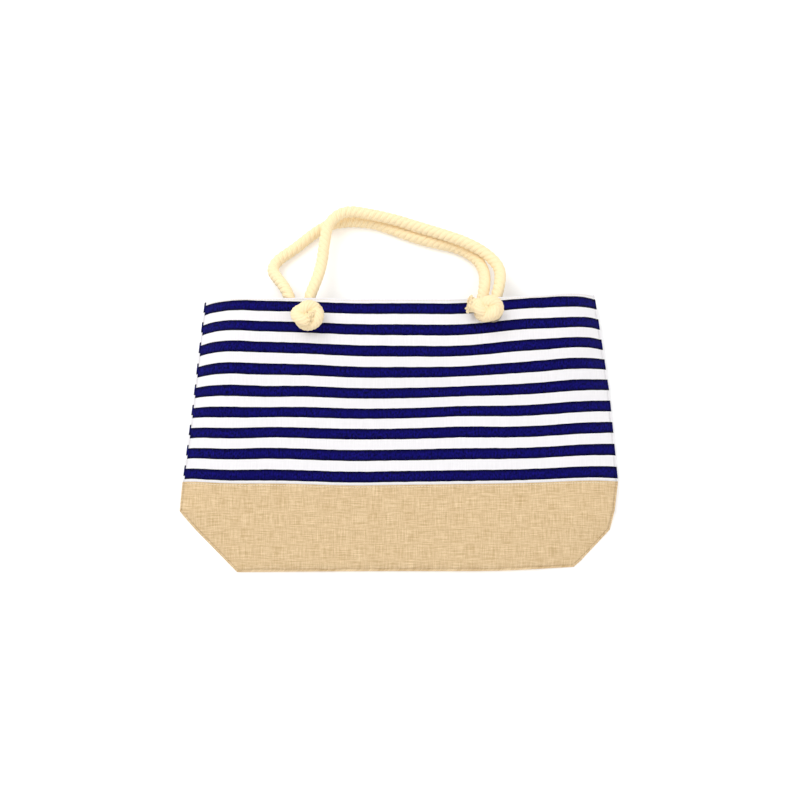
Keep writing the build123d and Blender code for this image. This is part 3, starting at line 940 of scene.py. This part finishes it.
for side, beside_stripes, beside_jute, print_cloth in (
    ("left", (LEFT_MOUTH, LEFT_JUTE), (LEFT_JUTE, LEFT_CORNER), BACK_CANVAS),
    ("right", (RIGHT_JUTE, RIGHT_MOUTH), (RIGHT_CORNER, RIGHT_JUTE), CANVAS),
):
    striped = (*edge_roll(*beside_stripes, back_height), 0)
    plain = (*edge_roll(*beside_jute, back_height), 1)
    outer_cloths = [print_cloth, JUTE]
    seam = build(f"{side}_seam", [striped, plain], outer_cloths + [LINING_CLOTH] * 2)
    thicken(seam, CLOTH)
    # The seam's inner faces take the cloths that follow the outer ones
    seam.modifiers["cloth_thickness"].material_offset = len(outer_cloths)
    declare(seam, f"{side}_side_seam", "striped_canvas", "folded", *SEAM_CUT)
    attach(seam, "bag_body")

# ---- Bottom panel, turned up behind, with its sides from the fold to the upper edge ----
FLAP_LEFT = (OUTLINE[LEFT_BOTTOM], (OUTLINE[LEFT_CORNER][0], Y_CORNER), (-FLAP_HALF, Y_FLAP))
FLAP_RIGHT = [*OUTLINE[RIGHT_BOTTOM : RIGHT_CORNER + 1], (FLAP_HALF, Y_FLAP)]


def flap_grid(height, inner=0.0):
    """Grid over the bottom panel, which widens and narrows between its two folds."""
    y = np.linspace(FOLD_Y + inner, Y_FLAP - inner, FLAP_ROWS)[:, None]
    left = np.interp(y, *np.array(FLAP_LEFT).T[::-1]) + inner
    right = np.interp(y, *np.array(FLAP_RIGHT).T[::-1]) - inner
    x = left + (right - left) * np.linspace(0.0, 1.0, FLAP_COLUMNS)[None, :]
    y = np.broadcast_to(y, x.shape)
    ripple = FLAP_RIPPLE * (1 + np.sin(x * 47.0 + 9.0 * np.sin(y * 31.0)))
    crept = creep(x, y) * (1 - eased((y - Y_BOTTOM) / FLAP_CREEP_REACH))
    return np.stack([x, y + crept, height + ripple], axis=-1), flat_cloth(x, y)


def on_floor(x, y):
    """Height of the bottom fold's lower side."""
    return np.zeros_like(x)


fold = (*edge_roll(LEFT_CORNER, RIGHT_CORNER, on_floor), 0)
points, cloth = flap_grid(0.0)
base_bottom = build("base_bottom", [fold, (points[:, ::-1], cloth[:, ::-1], 0)], [JUTE])
thicken(base_bottom, CLOTH)
declare(base_bottom, "base_bottom_panel", "jute_cloth", "folded", *BASE_BOTTOM_CUT)
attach(base_bottom, "bag_body")

# ---- Back of the jute base, partly behind the bottom panel ----
rows, cloth_rows = [], []
for number, (y, z) in enumerate(STRIP + BACK_BAND):
    if number < len(STRIP):
        x = np.linspace(-FLAP_HALF, FLAP_HALF, STRIP_COLUMNS)
        crept = np.zeros_like(x)
    else:
        x = np.linspace(left_edge(y), right_edge(y), STRIP_COLUMNS)
        crept = creep(x, y)
    rows.append(np.stack([x, y + crept, np.full_like(x, z)], axis=-1))
    cloth_rows.append(flat_cloth(x, np.full_like(x, STRIP_CLOTH_STEP * number)))
base_back = build("base_back", [(np.array(rows), np.array(cloth_rows), 0)], [JUTE])
thicken(base_back, CLOTH, 0.0)
declare(base_back, "base_back_panel", "jute_cloth", "folded", *BASE_BACK_CUT)
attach(base_back, "bag_body")

# ---- Hem facings and linings: their shown side is the inner one ----
FACING = (*FACING_LAYER, CANVAS, "striped_canvas")
INNER = (*LINING_LAYER, LINING_CLOTH, "lining_cloth")
for name, node, height, inward, low, high, layer in (
    ("front_facing", "front_hem_facing", front_height, -1, Y_HEM, FACING_TOP, FACING),
    ("back_facing", "back_hem_facing", back_height, 1, Y_HEM, FACING_TOP, FACING),
    ("front_inner", "front_lining", front_height, -1, Y_JUTE, LINING_TOP, INNER),
    ("back_inner", "back_lining", back_height, 1, Y_CORNER, LINING_TOP, INNER),
    ("base_front_inner", "base_front_lining", front_height, -1, LINING_BOTTOM, Y_JUTE, INNER),
):
    side, depth, thickness, material, slot = layer
    x, y = wall_places(low, high, LAYER_ROWS, LAYER_COLUMNS, side)
    if inward < 0:
        x, y = x[:, ::-1], y[:, ::-1]
    grid = (on_cloth(x, y, height, inward * depth), flat_cloth(x, y), 0)
    piece = build(name, [grid], [material])
    thicken(piece, thickness)
    wide, long = float(x.max() - x.min()), high - low
    declare(piece, node, slot, "laid", (wide, long), LAYER_AREA_SHARE * wide * long)
    if node in ("front_hem_facing", "front_lining"):
        swing(piece)
    else:
        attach(piece, "bag_body")

grid = (*flap_grid(FLAP_LINING_DEPTH, FLAP_LINING_INSET), 0)
base_bottom_inner = build("base_bottom_inner", [grid], [LINING_CLOTH])
thicken(base_bottom_inner, LINING)
declare(base_bottom_inner, "base_bottom_lining", "lining_cloth", "laid", *FLAP_LINING_CUT)
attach(base_bottom_inner, "bag_body")


# ---- Slip pocket with its bound edge ----
def pocket_height(x, y):
    """The pocket lies on the back lining, and gapes a little at its bound edge."""
    opening = eased((y - POCKET_LOW) / (POCKET_HIGH - POCKET_LOW)) ** 2
    gape = POCKET_GAPE * opening * np.cos(np.clip(x / POCKET_HALF, -1, 1) * math.pi / 2)
    return back_height(x, y) + POCKET_DEPTH + gape


across = np.linspace(-POCKET_HALF, POCKET_HALF, POCKET_COLUMNS)
x, y = np.meshgrid(across, np.linspace(POCKET_LOW, POCKET_HIGH, POCKET_ROWS))
grid = (on_cloth(x, y, pocket_height), flat_cloth(x, y), 0)
pocket = build("slip_pocket", [grid], [LINING_CLOTH])
thicken(pocket, LINING)
declare(pocket, "inner_pocket", "lining_cloth", "stretched", *POCKET_CUT)
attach(pocket, "bag_body")

turn = np.linspace(0.0, 2 * math.pi, 17)
edge = on_cloth(across, np.full_like(across, POCKET_HIGH), pocket_height)[:, None]
tape_y = BINDING_MIDDLE + BINDING_WIDTH / 2 * np.cos(turn)
tape_z = BINDING_THICKNESS / 2 * np.sin(turn)
points = edge + np.stack([0 * turn, tape_y, tape_z], axis=-1)[None]
binding = build("bound_edge", [(points, flat_cloth(points[..., 0], points[..., 1]), 0)], [TAPE])
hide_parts("pocket_binding")
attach(binding, "bag_body")


# ---- Stitching ----
def stitch_row(line):
    """Small stitches along a line of points, each sunk at both ends."""
    travelled = along_path(line)
    grids = []
    for number in range(int(travelled[-1] / STITCH_PITCH)):
        at = number * STITCH_PITCH + np.linspace(0.0, STITCH_LENGTH, 6)
        path = np.stack([np.interp(at, travelled, line[:, axis]) for axis in range(3)], axis=1)
        path[:, 2] += STITCH_RADIUS * np.array([-1.2, 0.1, 0.5, 0.5, 0.1, -1.2])
        up = np.broadcast_to((0.0, 0.0, 1.0), path.shape)
        grids.append((*tube(path, STITCH_RADIUS, up, 6), 0))
    return grids


def stitched(name, lines):
    """One piece from the rows of stitches along these lines."""
    grids = [grid for line in lines for grid in stitch_row(line)]
    stitches = build(name, grids, [THREAD])
    return stitches


x = np.linspace(*SEAM_STITCHES, LINE_POINTS)
line = on_cloth(x, np.full_like(x, Y_JUTE - STITCH_INSET), front_height)
jute_stitches = stitched("jute_seam_stitches", [line])
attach(jute_stitches, "bag_body")

x = np.linspace(*HEM_STITCHES, LINE_POINTS)
line = on_cloth(x, hem_line(x) - STITCH_INSET, front_height)
hem_stitches = stitched("hem_stitches", [line])
swing(hem_stitches)

half = POCKET_HALF - POCKET_STITCH_INSET
low = POCKET_LOW + POCKET_STITCH_INSET
down = np.linspace(POCKET_HIGH - POCKET_STITCH_INSET, low, 40)
along = np.linspace(-half, half, 80)
lines = [on_cloth(np.full_like(down, side), down, pocket_height) for side in (-half, half)]
lines.append(on_cloth(along, np.full_like(along, low), pocket_height))
pocket_stitches = stitched("pocket_stitches", lines)
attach(pocket_stitches, "bag_body")

# ---- Floor and light ----
floor_mesh = bpy.data.meshes.new("floor")
signs = ((-1, -1), (1, -1), (1, 1), (-1, 1))
floor_corners = [(x * FLOOR_HALF, y * FLOOR_HALF, 0) for x, y in signs]
floor_mesh.from_pydata(floor_corners, [], [(0, 1, 2, 3)])
floor = bpy.data.objects.new("floor", floor_mesh)
bpy.context.scene.collection.objects.link(floor)
paper = Finish("floor_paper", 0.95, Specular_IOR_Level=0.1, Emission_Strength=PAPER_GLOW)
paper.paint(colour(250, 250, 250))
floor_mesh.materials.append(paper.material)
floor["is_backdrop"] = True

world = bpy.data.worlds.new("studio")
bpy.context.scene.world = world
world.use_nodes = True
background = world.node_tree.nodes["Background"]
background.inputs["Color"].default_value = (1.0, 1.0, 1.0, 1.0)
background.inputs["Strength"].default_value = WORLD_STRENGTH


def soft_light(name, place, width, power):
    """Square light that looks at the bag."""
    data = bpy.data.lights.new(name, "AREA")
    data.size = width
    data.energy = power
    light = bpy.data.objects.new(name, data)
    bpy.context.scene.collection.objects.link(light)
    light.location = place
    low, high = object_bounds()
    away = light.location - low.lerp(high, 0.5)
    light.rotation_euler = away.to_track_quat("Z", "Y").to_euler()


soft_light("key", *KEY_LIGHT)
soft_light("fill", *FILL_LIGHT)
bpy.context.scene.view_settings.view_transform = "Standard"

# ---- Hardware keeps its CAD shape ----
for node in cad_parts:
    if node.endswith(("_eyelet", "_washer")) or node.startswith("snap_"):
        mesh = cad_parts[node].data
        mesh.materials.clear()
        mesh.materials.append(NICKEL)
